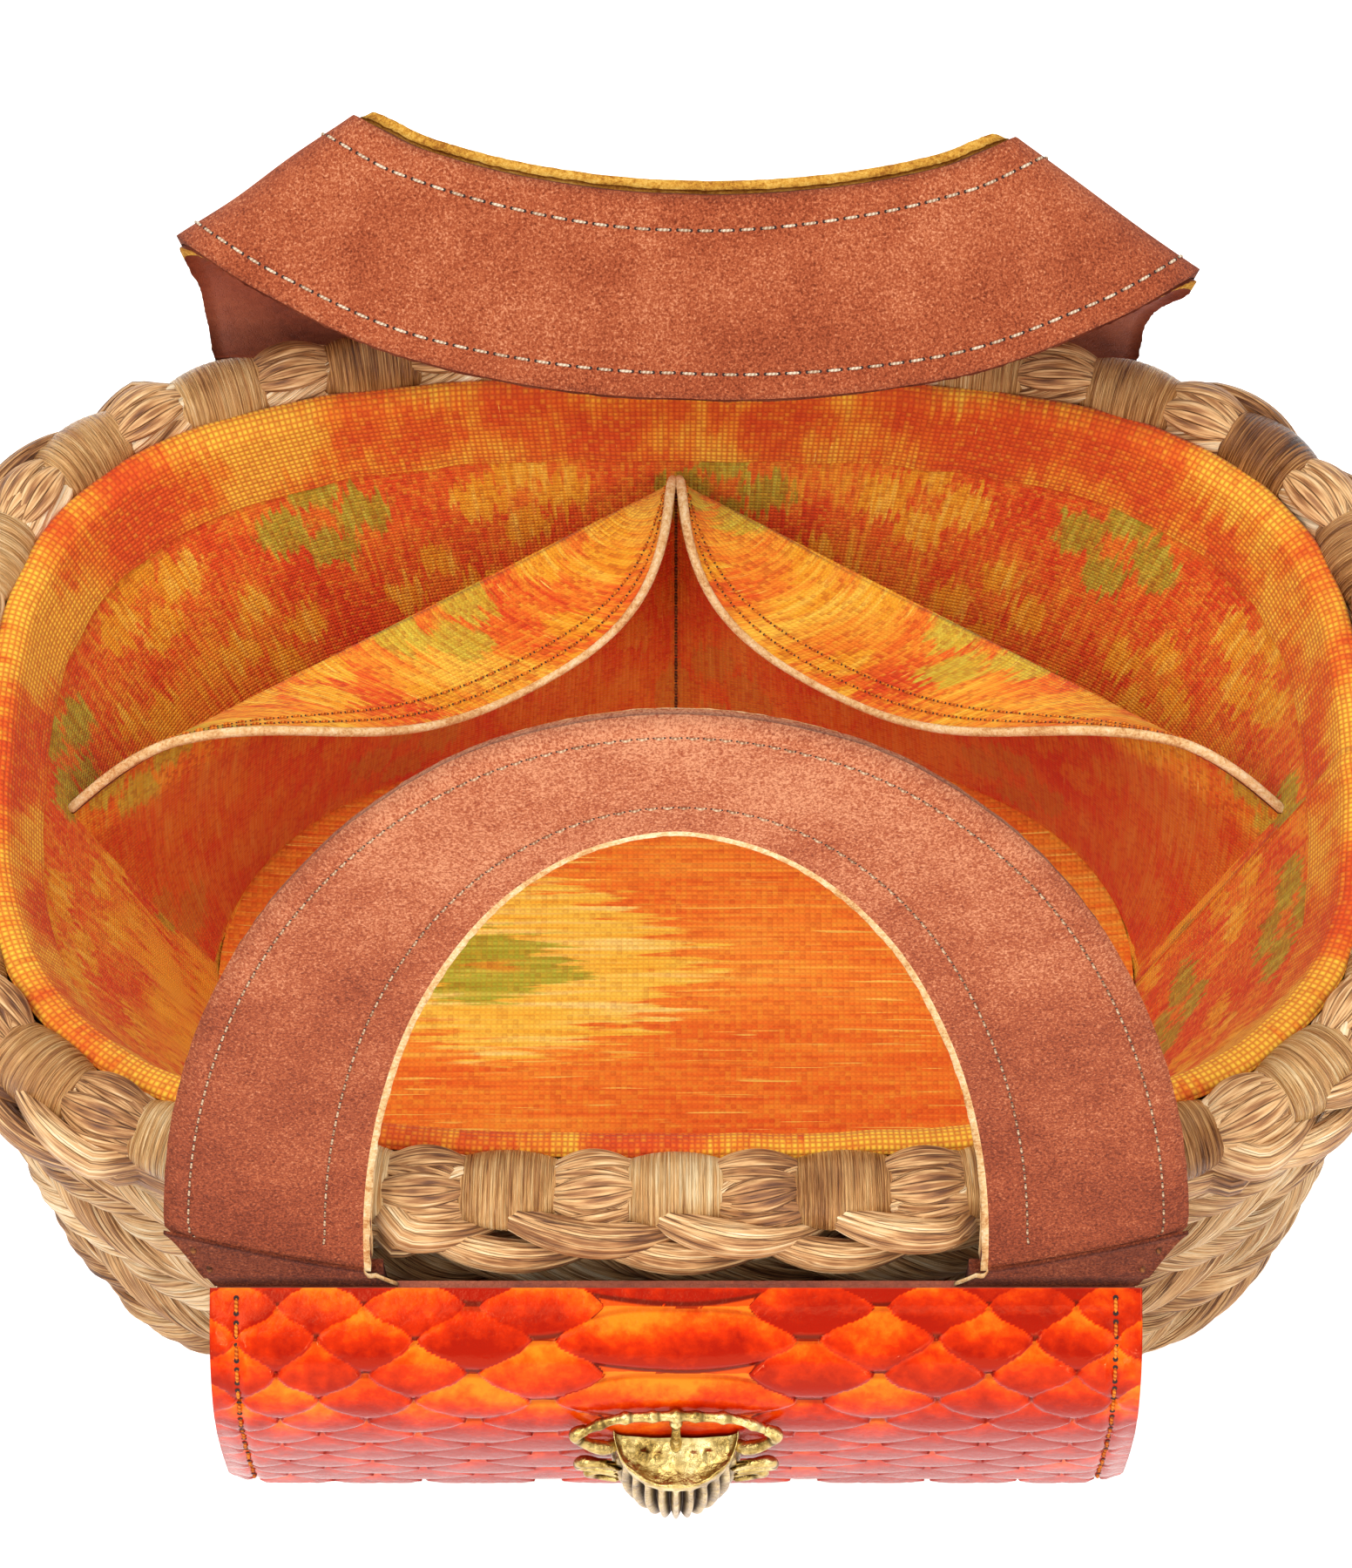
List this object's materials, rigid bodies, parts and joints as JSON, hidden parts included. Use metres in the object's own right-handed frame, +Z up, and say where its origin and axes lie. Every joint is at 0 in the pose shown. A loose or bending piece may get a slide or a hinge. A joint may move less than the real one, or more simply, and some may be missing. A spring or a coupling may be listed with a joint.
{
  "type": "basket bag",
  "caption": "Small oval basket bag of twined rope with a fabric lining, arched leather handles and a flap pouch with a shell clasp on its front.",
  "frame": {"origin": "middle of the base's resting face", "axes": "+Z up through the mouth, +X along the long side of the oval, the pouch faces -Y"},
  "size_m": [0.267, 0.2177, 0.2267],
  "materials": {
    "straw": "dried plant fibre, satin",
    "wrap_fibre": "flat glossy plant fibre",
    "ikat": "plain woven cotton with blurred dyed figures",
    "board": "bare fibreboard",
    "pale_leather": "raw edged",
    "suede": "suede nap",
    "smooth_leather": "smooth, low sheen",
    "scale_leather": "glossy scaled skin",
    "steel": "plain",
    "brass": "cast, antiqued in the grooves"
  },
  "bodies": {
    "basket": {"base_mat": "straw", "stake_frame": "straw", "wall_row_1": "straw", "wall_row_2": "straw", "wall_row_3": "straw", "wall_row_4": "straw", "wall_row_5": "straw", "wall_row_6": "straw", "wall_row_7": "straw", "rim_rope": "straw", "rim_wrap_1": "wrap_fibre", "rim_wrap_2": "wrap_fibre", "rim_wrap_3": "wrap_fibre", "rim_wrap_4": "wrap_fibre", "rim_wrap_5": "wrap_fibre", "rim_wrap_6": "wrap_fibre", "rim_wrap_7": "wrap_fibre", "rim_wrap_8": "wrap_fibre", "rim_wrap_9": "wrap_fibre", "rim_wrap_10": "wrap_fibre", "rim_wrap_11": "wrap_fibre", "rim_wrap_12": "wrap_fibre", "rim_wrap_13": "wrap_fibre", "rim_wrap_14": "wrap_fibre", "rim_wrap_15": "wrap_fibre", "rim_wrap_16": "wrap_fibre", "rim_wrap_17": "wrap_fibre", "rim_wrap_18": "wrap_fibre", "rim_wrap_19": "wrap_fibre", "rim_wrap_20": "wrap_fibre", "rim_wrap_21": "wrap_fibre", "rim_wrap_22": "wrap_fibre", "rim_wrap_23": "wrap_fibre", "rim_wrap_24": "wrap_fibre", "rim_wrap_25": "wrap_fibre", "rim_wrap_26": "wrap_fibre", "lining_wall": "ikat", "lining_hem": "ikat", "floor_board": "board", "floor_lining": "ikat", "pocket_panel": "ikat", "pocket_trim": "pale_leather", "front_tab_left": "suede", "front_tab_right": "suede", "rear_tab_left": "suede", "rear_tab_right": "suede", "pouch_back": "smooth_leather", "pouch_front": "scale_leather", "pouch_gusset": "scale_leather", "catch_plate": "steel"},
    "front_handle": {"front_handle_suede": "suede", "front_handle_lining": "smooth_leather"},
    "rear_handle": {"rear_handle_suede": "suede", "rear_handle_lining": "smooth_leather"},
    "flap": {"flap_scales": "scale_leather", "flap_lining": "smooth_leather", "flap_magnet": "steel", "clasp": "brass"}
  },
  "joints": [
    {"name": "front_handle_hinge", "type": "hinge", "parent": "basket", "child": "front_handle", "pos_m": [0, -0.0973, 0.0832], "axis": [1, 0, 0], "range_deg": [-3, 40]},
    {"name": "rear_handle_hinge", "type": "hinge", "parent": "basket", "child": "rear_handle", "pos_m": [0, 0.0973, 0.0832], "axis": [1, 0, 0], "range_deg": [-100, 5]},
    {"name": "flap_hinge", "type": "hinge", "parent": "basket", "child": "flap", "pos_m": [0, -0.0987, 0.0804], "axis": [-1, 0, 0], "range_deg": [0, 70]}
  ]
}
